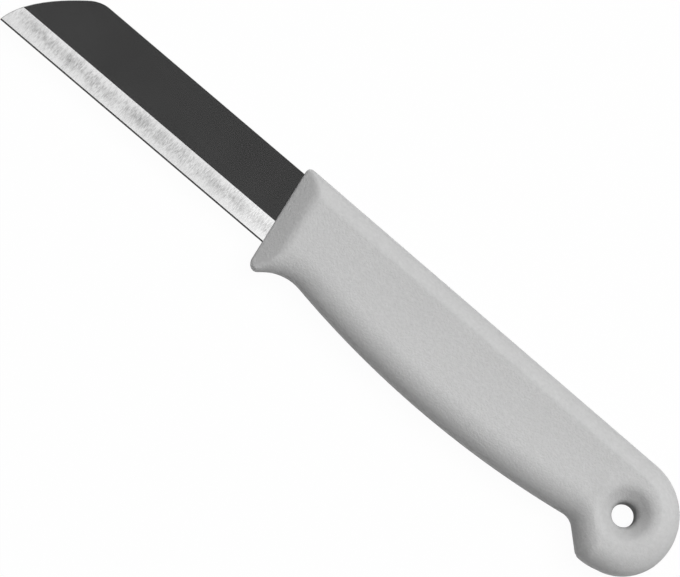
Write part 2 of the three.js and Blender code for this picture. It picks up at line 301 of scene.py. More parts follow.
class Nodes:
    """Adds shader nodes to one node tree."""

    def __init__(self, tree):
        self.tree = tree
        tree.nodes.clear()

    def add(self, kind, settings=None, inputs=None, output=0):
        """A node with its settings, then the values or links of its sockets; gives one output."""
        node = self.tree.nodes.new(kind)
        for name, value in (settings or {}).items():
            setattr(node, name, value)
        for name, value in (inputs or {}).items():
            if isinstance(value, Link):
                self.tree.links.new(value.socket, node.inputs[name])
            else:
                node.inputs[name].default_value = value
        return Link(self, node.outputs[output])

    def math(self, operation, *values):
        """One Math node."""
        return self.add("ShaderNodeMath", {"operation": operation}, dict(enumerate(values)))

    def fade(self, value, limits, levels, kind="LINEAR"):
        """A level that passes from one to another between two limits of a value."""
        inputs = {"Value": value, "From Min": limits[0], "From Max": limits[1]}
        inputs.update({"To Min": levels[0], "To Max": levels[1]})
        return self.add("ShaderNodeMapRange", {"interpolation_type": kind}, inputs)

    def mix_colour(self, factor, first, second):
        """Two colours through a Mix node."""
        return self.add("ShaderNodeMix", {"data_type": "RGBA"}, {0: factor, 6: first, 7: second}, output=2)

    def shade(self, colour, tone):
        """A colour made lighter or darker."""
        return self.add("ShaderNodeVectorMath", {"operation": "SCALE"}, {0: tuple(colour), "Scale": tone})

    def stretch(self, vector, factors):
        """A coordinate stretched along each axis."""
        return self.add("ShaderNodeVectorMath", {"operation": "MULTIPLY"}, {0: vector, 1: factors})

    def noise(self, vector, size=1, detail=2, roughness=0.5):
        """A noise from 0 to 1, with marks of about that size."""
        inputs = {"Vector": vector, "Scale": 1 / size, "Detail": detail, "Roughness": roughness}
        return self.add("ShaderNodeTexNoise", {}, inputs)

    def place(self):
        """Where a surface point lies on its piece, in metres."""
        return self.add("ShaderNodeTexCoord", output="Object")

    def seen(self):
        """1 where the camera sees a surface straight, in a mirror or through glass."""
        path = self.add("ShaderNodeLightPath", output="Is Camera Ray")
        mirrored = self.math("MAXIMUM", path.output("Is Glossy Ray"), path.output("Is Transmission Ray"))
        return self.math("MAXIMUM", path, mirrored)

    def bump(self, height, distance, strength):
        """A normal bent by a height."""
        inputs = {"Height": height, "Distance": distance, "Strength": strength}
        return self.add("ShaderNodeBump", {}, inputs)

    def principled(self, inputs):
        """A Principled shader."""
        return self.add("ShaderNodeBsdfPrincipled", {}, inputs)

    def finish(self, shader, kind="ShaderNodeOutputMaterial"):
        """Joins a shader to the tree's output."""
        node = self.tree.nodes.new(kind)
        self.tree.links.new(shader.socket, node.inputs["Surface"])


def new_material(name):
    """An empty material and the nodes to fill it with."""
    material = bpy.data.materials.new(name)
    material.use_nodes = True
    return material, Nodes(material.node_tree)


def hole_centre(handle, blade):
    """The middle of the hanging hole, from the heel."""
    middle = (blade.height + handle.spine_cover - handle.spine_fall - handle.hook_drop) / 2
    return Vector((handle.length - handle.hole_inset, middle + handle.hole_rise))


def handle_plastic(handle, blade):
    """Light grey plastic with a fine moulded grain, darkened inside the hanging hole by painted shade."""
    material, nodes = new_material("handle_plastic")
    place = nodes.place()
    hole = HEEL.xy + hole_centre(handle, blade)
    across = nodes.stretch(place, (1, 1, 0))
    from_hole = nodes.add(
        "ShaderNodeVectorMath", {"operation": "DISTANCE"}, {0: across, 1: (*hole, 0)}, output="Value"
    )
    bore = handle.hole_diameter / 2
    # Painted shade: the plastic darkens towards the hole's narrowest wall, standing in for the shadow deep in
    # the hole.
    painted_hole_shade = nodes.fade(from_hole, (bore, bore + handle.painted_hole_shade_width), (handle.painted_hole_shade, 0), "SMOOTHSTEP")
    grain = nodes.noise(place, handle.grain, detail=3, roughness=0.6)
    mottle = nodes.noise(place, handle.grain / 0.6)
    cloud = nodes.noise(place, 12 * MM)
    tone = 0.86 + 0.05 * grain + 0.2 * mottle + 0.03 * cloud
    inputs = {
        "Base Color": nodes.shade(handle.colour, tone * (1 - painted_hole_shade)),
        "Roughness": 0.58 + 0.16 * grain,
        "Normal": nodes.bump(grain, 0.125 * MM, 1.0),
        "IOR": 1.48,
        "Specular IOR Level": 0.12,
    }
    nodes.finish(nodes.principled(inputs))
    return material


def polished_steel(blade):
    """Dark mirror-like flats with the faintest lengthwise rolling marks."""
    material, nodes = new_material("polished_steel")
    place = nodes.place()
    rolling = nodes.noise(nodes.stretch(place, (40, 6000, 1)))
    cloud = nodes.noise(place, 9 * MM)
    inputs = {
        "Base Color": (*blade.flat_colour, 1),
        "Metallic": 1.0,
        "Roughness": 0.1 + 0.02 * rolling + 0.03 * cloud,
        "Normal": nodes.bump(rolling, 0.002 * MM, 0.1),
    }
    nodes.finish(nodes.principled(inputs))
    return material


def ground_steel(blade):
    """Bright bevel with crosswise grinding scratches and cloudy patches."""
    material, nodes = new_material("ground_steel")
    place = nodes.place()
    scratches = nodes.noise(nodes.stretch(place, (4600, 1100, 1)), detail=3, roughness=0.7)
    streaks = nodes.noise(nodes.stretch(place, (1900, 420, 1)))
    patches = nodes.noise(nodes.stretch(place, (330, 250, 1)))
    along = nodes.add("ShaderNodeSeparateXYZ", {}, {"Vector": place})
    # Towards the heel the bevel is smoother with fainter marks, and its colour is lightened: painted light
    # that keeps it bright up to the handle, against the handle's shadow and dark reflection.
    heelwards = nodes.math("MAXIMUM", 1 + (along - HEEL.x) * (1 / blade.heel_polish_and_light), 0)
    tipwards = nodes.math("MAXIMUM", 1 - (along - BLADE_LOW.x) * (1 / blade.tip_polish), 0)

    # A darker band runs along the bevel, just above its middle and higher towards the tip. It is painted
    # shade, standing in for the darker reflection across the middle of the hollow grind.
    up_bevel = (along.output("Y") - HEEL.y) * (1 / blade.bevel_height)
    middle = nodes.math("COSINE", (up_bevel - 0.575 - 0.12 * tipwards) * 7)
    marks = 1.1 * scratches + 0.5 * streaks + 0.4 * patches - 1
    band = 0.135 * middle * (1 - 0.45 * heelwards - 0.7 * tipwards)
    contrast = 1.1 + 0.25 * middle - 0.3 * heelwards - 0.4 * tipwards
    tone = 0.885 - band + 0.035 * heelwards + 0.02 * tipwards + marks * contrast
    inputs = {
        "Base Color": nodes.shade(blade.bevel_colour, tone),
        "Metallic": 1.0,
        "Roughness": 0.24 + 0.12 * streaks - 0.17 * (heelwards * heelwards),
        "Normal": nodes.bump(scratches, 0.01 * MM, 0.3),
    }
    nodes.finish(nodes.principled(inputs))
    return material


def honed_steel(blade):
    """The narrow honed strip along the edge, painted near black for the dark that it reflects."""
    material, nodes = new_material("honed_steel")
    scratches = nodes.noise(nodes.stretch(nodes.place(), (7000, 900, 1)))
    inputs = {
        # Painted shade: near black for the dark reflection of the honed strip.
        "Base Color": (*blade.hone_painted_shade, 1),
        "Metallic": 1.0,
        "Roughness": 0.25 + 0.15 * scratches,
    }
    nodes.finish(nodes.principled(inputs))
    return material


def sheared_steel(blade):
    """Spine and tip edges, left as the press sheared them."""
    material, nodes = new_material("sheared_steel")
    marks = nodes.noise(nodes.stretch(nodes.place(), (3000, 3000, 400)), detail=3)
    inputs = {
        "Base Color": (*blade.flat_colour, 1),
        "Metallic": 1.0,
        "Roughness": 0.32 + 0.25 * marks,
        "Normal": nodes.bump(marks, 0.01 * MM, 0.3),
    }
    nodes.finish(nodes.principled(inputs))
    return material


def table_white(stage):
    """Pale table that the camera sees as white, with a trace of the knife's shadow."""
    material, nodes = new_material("table_white")
    seen = nodes.seen()
    colour = nodes.shade(stage.table_colour, 0.98 + 0.04 * nodes.noise(nodes.place(), 2 * MM))
    inputs = {"Base Color": colour, "Roughness": 0.9, "Specular IOR Level": 0.0}
    matt = nodes.principled(inputs)
    white = nodes.add("ShaderNodeEmission", {}, {"Color": (1, 1, 1, 1), "Strength": 1.0})
    inputs = {0: seen * (1 - stage.table_shade), 1: matt, 2: white}
    nodes.finish(nodes.add("ShaderNodeMixShader", {}, inputs))
    return material


class Side(NamedTuple):
    """How the handle rounds over from one side of its outline to the flat face."""

    band: float
    roundness: float
    inset: float
    rim: float


class Corner(NamedTuple):
    """A corner of an outline before rounding, with the side that leaves it."""

    at: Vector
    radius: float
    steps: int
    side: Side


def turn_at(corners, i):
    """The direction of the side before a corner, the length of the side after it, and the turn."""
    before = corners[i].at - corners[i - 1].at
    after = corners[(i + 1) % len(corners)].at - corners[i].at
    turn = math.atan2(before.x * after.y - before.y * after.x, before.dot(after))
    return before.normalized(), after.length, turn


def corner_arcs(corners):
    """The arc at each corner: its start, centre and turn. Arcs that would meet share their side."""
    count = len(corners)
    turns = [turn_at(corners, i) for i in range(count)]
    wanted = [c.radius * math.tan(abs(turns[i][2]) / 2) for i, c in enumerate(corners)]

    def allowed(i, j, side):
        return wanted[i] * side / max(wanted[i] + wanted[j], side)

    arcs = []
    for i, corner in enumerate(corners):
        before, side_after, turn = turns[i]
        setback = min(allowed(i, i - 1, turns[i - 1][1]), allowed(i, (i + 1) % count, side_after))
        start = corner.at - before * setback
        centre = start + Vector((-before.y, before.x)) * (setback / math.tan(turn / 2))
        arcs.append((start, centre, turn))
    return arcs


def arc_points(arc, steps):
    """Points along one arc, both ends included."""
    start, centre, turn = arc
    return [centre + Matrix.Rotation(turn * k / steps, 2) @ (start - centre) for k in range(steps + 1)]


def outline_points(corners, pieces):
    """Points round an outline, its straight sides cut into that many pieces each."""
    arcs = corner_arcs(corners)
    bends = [arc_points(arc, corner.steps) for arc, corner in zip(arcs, corners)]
    points = []
    for i, bend in enumerate(bends):
        ahead = bends[(i + 1) % len(bends)][0]
        points += bend[:-1]
        points += [bend[-1].lerp(ahead, k / pieces[i]) for k in range(pieces[i])]
    return points


def side_pieces(corners, spacing):
    """How many pieces each straight side is cut into; none where two arcs touch."""
    bends = [arc_points(arc, 1) for arc in corner_arcs(corners)]
    gaps = [(bends[(i + 1) % len(bends)][0] - bend[-1]).length for i, bend in enumerate(bends)]
    return [math.ceil(gap / spacing) if gap > spacing / 20 else 0 for gap in gaps]


def handle_corners(handle, blade):
    """The handle's corners before rounding, anticlockwise from the front of its spine."""
    rake = math.tan(handle.front_rake)
    guard = math.tan(handle.guard_angle)
    top = blade.height + handle.spine_cover
    notch = handle.length - handle.hook_inset
    belly = (handle.finger_setback + notch) / 2 + handle.belly_shift
    toe = notch + (handle.hook_drop - handle.hook_notch_drop) / math.tan(handle.hook_angle)
    under = toe + handle.butt_start
    under_rise = (handle.length - under) * math.tan(handle.butt_slope)
    reach = handle.finger_setback + handle.front_overlap
    beak = -(handle.finger_drop + reach * guard) / (1 + rake * guard)
    few, many = 14, 40

    def side(band, bend, thickness=handle.rim_thickness):
        return Side(band, bend, band, thickness / 2)

    front = side(handle.front_band, handle.side_roundness)
    guard_side = side(handle.guard_band, handle.guard_roundness)._replace(inset=handle.guard_band / 2)
    belly_side = side(handle.belly_band, handle.side_roundness)
    hook = side(handle.butt_band, handle.hook_roundness)
    toe_side = side(handle.butt_band, handle.side_roundness, handle.toe_rim_thickness)
    butt = side(handle.butt_band, handle.butt_roundness, handle.butt_rim_thickness)
    spine = side(handle.spine_band, handle.spine_roundness)
    return [
        Corner(Vector((-handle.front_overlap - top * rake, top)), handle.front_radius, few, front),
        Corner(Vector((-handle.front_overlap - beak * rake, beak)), handle.guard_radius, few, guard_side),
        Corner(Vector((handle.finger_setback, -handle.finger_drop)), handle.finger_radius, few, belly_side),
        Corner(Vector((belly, -handle.belly_drop)), handle.belly_radius, many, belly_side),
        Corner(Vector((notch, -handle.hook_notch_drop)), handle.hook_notch_radius, few, hook),
        Corner(Vector((toe, -handle.hook_drop)), handle.hook_radius, few, toe_side),
        Corner(Vector((under, -handle.hook_drop)), handle.butt_start_radius, few, toe_side),
        Corner(Vector((handle.length, under_rise - handle.hook_drop)), handle.butt_lower_radius, many, butt),
        Corner(Vector((handle.length, top - handle.spine_fall)), handle.butt_upper_radius, many, spine),
    ]


def flat_side_corners(handle, corners):
    """Corners of the loop round the flat side: each side moves in by its inset."""
    moved = []
    for i, corner in enumerate(corners):
        before, _, turn = turn_at(corners, i)
        inset_before = corners[i - 1].side.inset
        slide = (inset_before * math.cos(turn) - corner.side.inset) / math.sin(turn)
        at = corner.at + Vector((-before.y, before.x)) * inset_before + before * slide
        inset = (inset_before + corner.side.inset) / 2
        radius = max(corner.radius - inset, handle.side_corner) if turn > 0 else corner.radius + inset
        moved.append(corner._replace(at=at, radius=radius))
    return moved


def smooth(t):
    """A step from 0 to 1 that starts and ends gently."""
    t = min(max(t, 0), 1)
    return t * t * (3 - 2 * t)


def mixed(first, second, t):
    """A value between two."""
    return first + (second - first) * t


def mixed_side(first, second, t):
    """A rounding between two."""
    return Side(*(mixed(a, b, t) for a, b in zip(first, second)))


def side_at_points(corners, pieces):
    """The rounding at each outline point, passing from side to side at the corners."""
    sides = []
    for i, corner in enumerate(corners):
        before = corners[i - 1].side
        sides += [mixed_side(before, corner.side, smooth(k / corner.steps)) for k in range(corner.steps)]
        sides += [corner.side] * pieces[i]
    return sides


def blend_low(low, high, softness):
    """The lower of two heights, softened where they cross."""
    overlap = max(softness - abs(low - high), 0)
    return min(low, high) - overlap * overlap / (4 * softness) if softness > 0 else min(low, high)


def inset_loop(loop, distance):
    """A loop of points moved inwards, to the left of its direction. Points may lie on each other."""
    moved = []
    for i, point in enumerate(loop):
        others = [other for other in loop[i + 1:] + loop[:i] if (other - point).length > ONE_POINT]
        along = others[0] - others[-1]
        moved.append(point + Vector((-along.y, along.x)).normalized() * distance)
    return moved


def reach_to(origin, direction, loop):
    """How far a ray goes before it meets a loop of points."""
    far = origin + direction
    hits = [intersect_line_line_2d(origin, far, a, b) for a, b in zip(loop, loop[1:] + loop[:1])]
    return min((hit - origin).length for hit in hits if hit)


def profile_reach(side, t):
    """How far in the rounding has come, from 0 at the rim to 1 at the flat face."""
    return 1 - max(math.cos(t * math.pi / 2), 0) ** (2 / side.roundness)


def rounding_height(side, half, reach):
    """Height of the surface at a distance in from one side of the outline."""
    t = min(max(reach / side.band, 0), 1)
    climb = (1 - (1 - t) ** side.roundness) ** (1 / side.roundness)
    return mixed(side.rim, half, climb)


def front_height(handle, half, reach):
    """Height of the sloping front at a distance behind the front face."""
    slope = handle.front_thickness / 2 + reach * math.tan(handle.front_slope)
    return blend_low(slope, half, handle.front_blend)


def dish_depth(handle, reach):
    """Depth of the dish below the flat face at a distance from the hole's wall."""
    slope, brim, lip = handle.dish_slope, handle.dish_brim, handle.dish_lip
    brim_width = brim * math.sin(slope)
    lip_width = lip * (1 - math.sin(slope))
    cone_width = handle.dish_width - brim_width - lip_width
    from_mouth = handle.dish_width - reach
    if from_mouth <= 0:
        return 0
    if from_mouth < brim_width:
        return brim - math.sqrt(brim ** 2 - from_mouth ** 2)
    depth = brim * (1 - math.cos(slope))
    if from_mouth < brim_width + cone_width:
        return depth + (from_mouth - brim_width) * math.tan(slope)
    depth += cone_width * math.tan(slope)
    return depth + lip * math.cos(slope) - math.sqrt(max(lip ** 2 - (lip - max(reach, 0)) ** 2, 0))


def nearest_on(point, path):
    """The distance from a point to a path, and how many points along it that is."""
    nearest, place = math.inf, 0
    for i, (a, b) in enumerate(zip(path, path[1:])):
        t = min(max(intersect_point_line(point, a, b)[1], 0), 1)
        away = (point - a.lerp(b, t)).length
        if away < nearest:
            nearest, place = away, i + t
    return nearest, place


def face_points(outer, inner, spacing, margin):
    """A grid of points between two loops, clear of both, each with its clearance."""
    low = Vector((min(p.x for p in outer), min(p.y for p in outer)))
    high = Vector((max(p.x for p in outer), max(p.y for p in outer)))
    points = []
    for row in range(int((high.y - low.y) / spacing) + 1):
        for k in range(int((high.x - low.x) / spacing) + 1):
            point = low + Vector((k + row % 2 / 2, row)) * spacing
            inside = crossings(point, outer) % 2 and not crossings(point, inner) % 2
            clear = min(nearest_on(point, loop + loop[:1])[0] for loop in (outer, inner)) if inside else 0
            if clear > margin:
                points.append((point, clear))
    return points


def crossings(point, loop):
    """How often a ray along the handle from a point crosses a loop."""
    count = 0
    for a, b in zip(loop, loop[1:] + loop[:1]):
        if (a.y > point.y) != (b.y > point.y):
            count += mixed(a.x, b.x, (point.y - a.y) / (b.y - a.y)) > point.x
    return count


class Moulding:
    """The handle's outline, and the height of its surface over any point, from the heel."""

    def __init__(self, handle, blade):
        self.handle = handle
        self.spine = blade.height
        self.corners = handle_corners(handle, blade)
        self.pieces = side_pieces(self.corners, OUTLINE_SPACING)
        self.outline = outline_points(self.corners, self.pieces)
        self.rim = inset_loop(self.outline, handle.seam_height)
        self.flat = outline_points(flat_side_corners(handle, self.corners), self.pieces)
        self.sides_at = side_at_points(self.corners, self.pieces)
        self.hole = hole_centre(handle, blade)
        self.bore = handle.hole_diameter / 2
        self.into_front = Vector((math.cos(handle.front_rake), math.sin(handle.front_rake)))
        nose_end = self.corners[0].steps + self.pieces[0] + self.corners[1].steps
        self.front_edge = self.outline[:nose_end + 1]
        self.banks = self.split_bank(nose_end)

    def split_bank(self, nose_end):
        """The rounded bank from the beak's underside to the spine, split at the hook's toe to blend there."""
        handle = self.handle
        path = self.outline[nose_end:] + self.outline[:1]
        path.insert(0, path[0] + (path[0] - path[1]).normalized() * handle.front_band)
        path.append(path[-1] + (path[-1] - path[-2]).normalized() * handle.front_band)
        sides = self.sides_at[nose_end:nose_end + 1] + self.sides_at[nose_end:] + self.sides_at[-1:] * 2
        for k in range(len(path) - self.pieces[-1] - 2, len(path)):
            nearness = min(max(1 - (path[k].x - path[-2].x) / handle.corner_fade, 0), 1)
            bend = mixed(handle.spine_roundness, handle.corner_roundness, nearness)
            sides[k] = sides[k]._replace(roundness=bend)
        steps = [corner.steps for corner in self.corners[:TOE_CORNER]]
        toe = sum(steps) + sum(self.pieces[:TOE_CORNER]) + self.corners[TOE_CORNER].steps // 2
        split = toe + 1 - nose_end
        return [(path[:split + 1], sides[:split + 1]), (path[split:], sides[split:])]

    def backwards(self, point):
        """0 at the front, 1 where the handle has its full thickness."""
        return smooth(point.x / self.handle.taper_length)

    def bank_height(self, point, half, path, sides):
        """The rounding of the nearest side of a bank, over a point."""
        reach, place = nearest_on(point, path)
        side = mixed_side(sides[int(place)], sides[min(int(place) + 1, len(path) - 1)], place % 1)
        return rounding_height(side, half, reach - self.handle.seam_height)

    def surface(self, point, spinewards):
        """Height over a point: the rounding of the nearest side, cut by the front and the dish."""
        handle = self.handle
        half = handle.thickness / 2 - handle.taper * (1 - self.backwards(point))
        height, far_height = (self.bank_height(point, half, *bank) for bank in self.banks)
        front = front_height(handle, half, self.into_front.dot(point) + handle.front_overlap)
        dished = half - dish_depth(handle, (point - self.hole).length - self.bore)
        front_ridge = mixed(handle.guard_blend, handle.corner_blend, spinewards)
        cuts = ((far_height, handle.toe_blend), (front, front_ridge), (dished, handle.ridge_blend))
        for cut, blend in cuts:
            height = blend_low(height, cut, min(blend, half - height, half - cut))
        return height

    def settle(self, point):
        """The surface over a point, softened at the spine's front corner and along the front's edge."""
        handle = self.handle
        spinewards = smooth(point.y / self.spine)
        spread = handle.corner_spread * max(2 * spinewards - 1, 0) if point.x < handle.corner_fade else 0
        shifts = CORNER_SHIFTS if spread else (0,)
        heights = [self.surface(point + Vector((spread * shift, 0)), spinewards) for shift in shifts]
        nearness = max(1 - nearest_on(point, self.front_edge)[0] / handle.front_ease, 0)
        height = sum(heights) / len(heights) - nearness ** 2 * handle.front_ease
        return (*point, max(height, handle.rim_thickness / 2))

    def sunk(self, point, clear):
        """Height of a flat face, slightly hollow because the thick moulding shrinks as it sets."""
        sink = self.handle.sink * (1 - (1 - min(clear / self.handle.sink_width, 1)) ** 2)
        return self.settle(point)[2] - sink * self.backwards(point)


def mirrored(rings):
    """The same rings on the handle's other side, from the middle out."""
    return [[(x, y, -z) for x, y, z in ring] for ring in reversed(rings)]


def side_rings(shape, land):
    """Rings of points from one flat face over the handle's side to the other."""
    rings = [[shape.settle(point) for point in land]]
    for step in range(PROFILE_STEPS, -1, -1):
        reaches = [profile_reach(side, step / PROFILE_STEPS) for side in shape.sides_at]
        between = [edge.lerp(inner, t) for edge, inner, t in zip(shape.rim, shape.flat, reaches)]
        rings.append([shape.settle(point) for point in between])
    top = rings[-1]
    for part in WALL_PARTS:
        rings.append([(x, y, max(z * part, shape.handle.seam_width / 2)) for x, y, z in top])

    # The parting line of the mould stands slightly proud, halfway up the sides.
    seam = [(*edge, 0) for edge in shape.outline]
    return rings + [seam] + mirrored(rings)


def dish_rings(shape, land):
    """Rings of points from one flat face through the hanging hole to the other."""
    rings = [[] for _ in range(DISH_STEPS + 1)]
    widest = shape.bore + shape.handle.dish_width + COLLAR_WIDTH
    for k in range(SPOKES):
        turn = 2 * math.pi * k / SPOKES
        spoke = Vector((math.cos(turn), math.sin(turn)))
        collar = min(COLLAR_LIMIT * reach_to(shape.hole, spoke, land), widest)
        for step, ring in enumerate(rings):
            # The steps shorten towards the hole, where the dish is steepest.
            inwards = math.sin(step / DISH_STEPS * math.pi / 2)
            ring.append(shape.settle(shape.hole + spoke * mixed(collar, shape.bore, inwards)))
    return rings + mirrored(rings)


def face_triangles(outer, inner, grid):
    """Triangles between two loops through a grid, as numbers of points in that order."""
    points = outer + inner + grid
    loops = [list(range(len(outer))), list(range(len(outer), len(outer) + len(inner)))]
    keep_inside, exactness = 1, 1e-9
    _, _, cells, origins, _, owners = delaunay_2d_cdt(points, [], loops, keep_inside, exactness)
    return [[origins[k][0] for k in cell] for cell, owner in zip(cells, owners) if list(owner) == [0]]


def handle_mesh(handle, blade):
    """The moulding without its cavity: rounded sides, two flat faces and the flared hanging hole."""
    shape = Moulding(handle, blade)
    land = inset_loop(shape.flat, LAND_WIDTH)
    sides = side_rings(shape, land)
    dish = dish_rings(shape, land)
    points, faces = [], []
    for rings in (sides, dish):
        for r, ring in enumerate(rings):
            base = len(points)
            points += [Vector(point) + HEEL for point in ring]
            if r:
                faces += quad_strip(base - len(ring), base, len(ring))
    collar = [Vector(point).xy for point in dish[0]]
    grid = face_points(land, collar, FACE_SPACING, FACE_MARGIN)
    triangles = face_triangles(land, collar, [point for point, _ in grid])
    dish_start = sum(len(ring) for ring in sides)
    upper = (1, 0, dish_start)
    lower = (-1, dish_start - len(land), len(points) - SPOKES)
    for side, land_start, collar_start in (upper, lower):
        numbers = list(range(land_start, land_start + len(land)))
        numbers += range(collar_start, collar_start + SPOKES)
        numbers += range(len(points), len(points) + len(grid))
        points += [Vector((*point, side * shape.sunk(point, clear))) + HEEL for point, clear in grid]
        faces += [[numbers[k] for k in triangle] for triangle in triangles]
    mesh = new_mesh("moulded_handle", points, faces)
    tidy_mesh(mesh, PLASTIC_CREASE)
    return mesh


def new_mesh(name, points, faces, materials=()):
    """A mesh from its points and faces."""
    mesh = bpy.data.meshes.new(name)
    mesh.from_pydata(points, [], faces)
    for material in materials:
        mesh.materials.append(material)
    return mesh


def quad_strip(low, high, count):
    """Quads between two closed rings of points."""
    following = [(i + 1) % count for i in range(count)]
    return [(low + i, low + j, high + j, high + i) for i, j in enumerate(following)]


def tidy_mesh(mesh, sharp_angle):
    """Merges doubled points, turns faces outwards, and keeps true corners crisp."""
    work = bmesh.new()
    work.from_mesh(mesh)
    bmesh.ops.remove_doubles(work, verts=work.verts, dist=ONE_POINT)
    bmesh.ops.recalc_face_normals(work, faces=work.faces)
    for face in work.faces:
        face.smooth = True
    for edge in work.edges:
        if len(edge.link_faces) == 2:
            first, second = edge.link_faces
            bent = edge.calc_face_angle(0) > sharp_angle
            edge.smooth = not bent and first.material_index == second.material_index
    work.to_mesh(mesh)
    work.free()


def new_object(name, mesh):
    """A mesh as an object in the scene."""
    obj = bpy.data.objects.new(name, mesh)
    bpy.context.scene.collection.objects.link(obj)
    return obj


def combine(obj, other, operation):
    """Joins or cuts an object with another, which is used up."""
    modifier = obj.modifiers.new("combine", "BOOLEAN")
    modifier.operation = operation
    modifier.solver = "EXACT"
    modifier.object = other
    bpy.context.view_layer.update()
    result = bpy.data.meshes.new_from_object(obj.evaluated_get(bpy.context.evaluated_depsgraph_get()))
    obj.modifiers.clear()
    worn = obj.data
    result.name = worn.name
    obj.data = result
    bpy.data.meshes.remove(worn)
    bpy.data.meshes.remove(other.data)
    return obj


def tip_setback(blade, spine, y):
    """How far behind the tip the blade's outline is at a height above the cutting edge."""
    control = Vector((blade.tip_lean, blade.tip_rise))
    corner = Vector((blade.tip_sweep, spine))
    join = corner - (corner - control).normalized() * blade.spine_corner
    if y <= join.y:
        bow = join.y - 2 * control.y
        t = (math.sqrt(control.y ** 2 + bow * max(y, 0)) - control.y) / bow
        return 2 * t * (1 - t) * control.x + t * t * join.x
    t = 1 - math.sqrt(max((spine - y) / (spine - join.y), 0))
    return (1 - t) ** 2 * join.x + 2 * t * (1 - t) * corner.x + t * t * (corner.x + blade.spine_corner)


FLAT, BEVEL, HONE, SHEARED = range(4)


def blade_rows(blade, grow):
    """Heights above the edge, with half the thickness there and the finish of the strip above."""
    half = blade.thickness / 2 + grow
    hone_half = blade.hone_thickness / 2 + grow
    soft = blade.edge_break
    spine = blade.height + grow
    rows = [(blade.edge_wear - grow, grow, HONE)]
    for k in range(BEVEL_STEPS):
        t = k / BEVEL_STEPS
        hollow = 4 * t * (1 - t) * blade.bevel_hollow
        y = mixed(blade.hone_height, blade.bevel_height, t)
        rows.append((y, mixed(hone_half, half, t) - hollow, BEVEL))
    for k in range(FLAT_STEPS):
        t = 1 - (1 - k / FLAT_STEPS) ** 2
        rows.append((mixed(blade.bevel_height, spine - soft, t), half, FLAT))
    rows += [(spine - soft * down, half - soft * into, SHEARED) for down, into in SPINE_EDGE]
    return rows


def plate_mesh(blade, grow, materials):
    """The ground blade as far as its shoulder, in rings that run up one side and down the other."""
    rows = blade_rows(blade, grow)
    soft = blade.edge_break
    end = blade.shoulder_depth + grow
    lines = []
    for y, half, _ in rows:
        tip = tip_setback(blade, blade.height + grow, y) - EDGE_LENGTH
        edge = [(tip + soft * back, max(half - soft * into, half * least)) for back, into, least in TIP_EDGE]
        start = edge[-1][0]
        runs = [(mixed(start, end, k / LENGTH_STEPS), half) for k in range(1, LENGTH_STEPS + 1)]
        lines.append([(x, y, z) for x, z in edge + runs])
    rings = [[*upper, *((x, y, -z) for x, y, z in reversed(upper))] for upper in zip(*lines)]
    points = [Vector(point) + HEEL for ring in rings for point in ring]
    around = len(rings[0])
    strips = [finish for _, _, finish in rows[:-1]]
    ring_finishes = [*strips, SHEARED, *reversed(strips), SHEARED]
    faces, finishes = [], []
    for i in range(len(rings) - 1):
        faces += quad_strip(i * around, (i + 1) * around, around)
        finishes += ring_finishes if i >= len(TIP_EDGE) - 1 else [SHEARED] * around
    for first in (0, len(points) - around):
        for r in range(len(rows) - 1):
            top, bottom = first + r, first + around - 1 - r
            faces.append((top, top + 1, bottom - 1, bottom))
            finishes.append(SHEARED)
    mesh = new_mesh("blade_plate", points, faces, materials)
    mesh.polygons.foreach_set("material_index", finishes)
    tidy_mesh(mesh, STEEL_CREASE)
    return mesh


def tang_mesh(blade, grow, materials):
    """The tang with its key holes, from inside the blade's shoulder to its rounded end."""
    low = blade.tang_rise - grow
    high = blade.tang_rise + blade.tang_height + grow
    start = blade.shoulder_depth / 2
    end = TANG_END + grow
    radius = blade.tang_corner
    outline = [Vector((start, high)), Vector((start, low))]
    for centre_y, first in ((low + radius, -math.pi / 2), (high - radius, 0)):
        for k in range(TANG_STEPS + 1):
            bend = first + k / TANG_STEPS * math.pi / 2
            turned = Vector((math.cos(bend), math.sin(bend)))
            outline.append(Vector((end - radius, centre_y)) + turned * radius)
    loops = [outline]
    for place in KEY_HOLE_PLACES:
        centre = Vector((mixed(blade.shoulder_depth, TANG_END, place), (low + high) / 2))
        reach = blade.key_hole / 2 - grow
        turns = [2 * math.pi * k / KEY_HOLE_STEPS for k in range(KEY_HOLE_STEPS)]
        loops.append([centre + Vector((math.cos(t), -math.sin(t))) * reach for t in turns])
    return slab(loops, blade.thickness / 2 + grow - TANG_TRACE, materials)


def slab(loops, half, materials):
    """A flat plate with holes, from its outline and the loops of its holes."""
    flat_points = [point for loop in loops for point in loop]
    count = len(flat_points)
    points = [Vector((*point, side * half)) + HEEL for side in (1, -1) for point in flat_points]
    faces = []
    for triangle in tessellate_polygon([[Vector((*point, 0)) for point in loop] for loop in loops]):
        faces.append(tuple(triangle))
        faces.append(tuple(count + k for k in reversed(triangle)))
    base = 0
    for loop in loops:
        for i in range(len(loop)):
            a, b = base + i, base + (i + 1) % len(loop)
            faces.append((a, b, count + b, count + a))
        base += len(loop)
    mesh = new_mesh("tang_plate", points, faces, materials)
    tidy_mesh(mesh, STEEL_CREASE)
    return mesh


def steel_solid(name, blade, grow, materials):
    """Blade and tang in one piece, grown all over where it is to cut the handle's cavity."""
    steel = new_object(name, plate_mesh(blade, grow, materials))
    combine(steel, new_object("tang", tang_mesh(blade, grow, materials)), "UNION")
    return steel


class PEELING_KNIFE_OT_blade(bpy.types.Operator):
    """Make the ground steel blade with its tang"""

    bl_idname = "peeling_knife.blade"
    bl_label = "Blade"

    def execute(self, context):
        blade = context.scene.knife_blade
        finishes = [polished_steel(blade), ground_steel(blade), honed_steel(blade), sheared_steel(blade)]
        steel = steel_solid("ground_blade", blade, 0, finishes)
        tidy_mesh(steel.data, STEEL_CREASE)
        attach(steel, "root")
        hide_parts("blade")
        return {"FINISHED"}


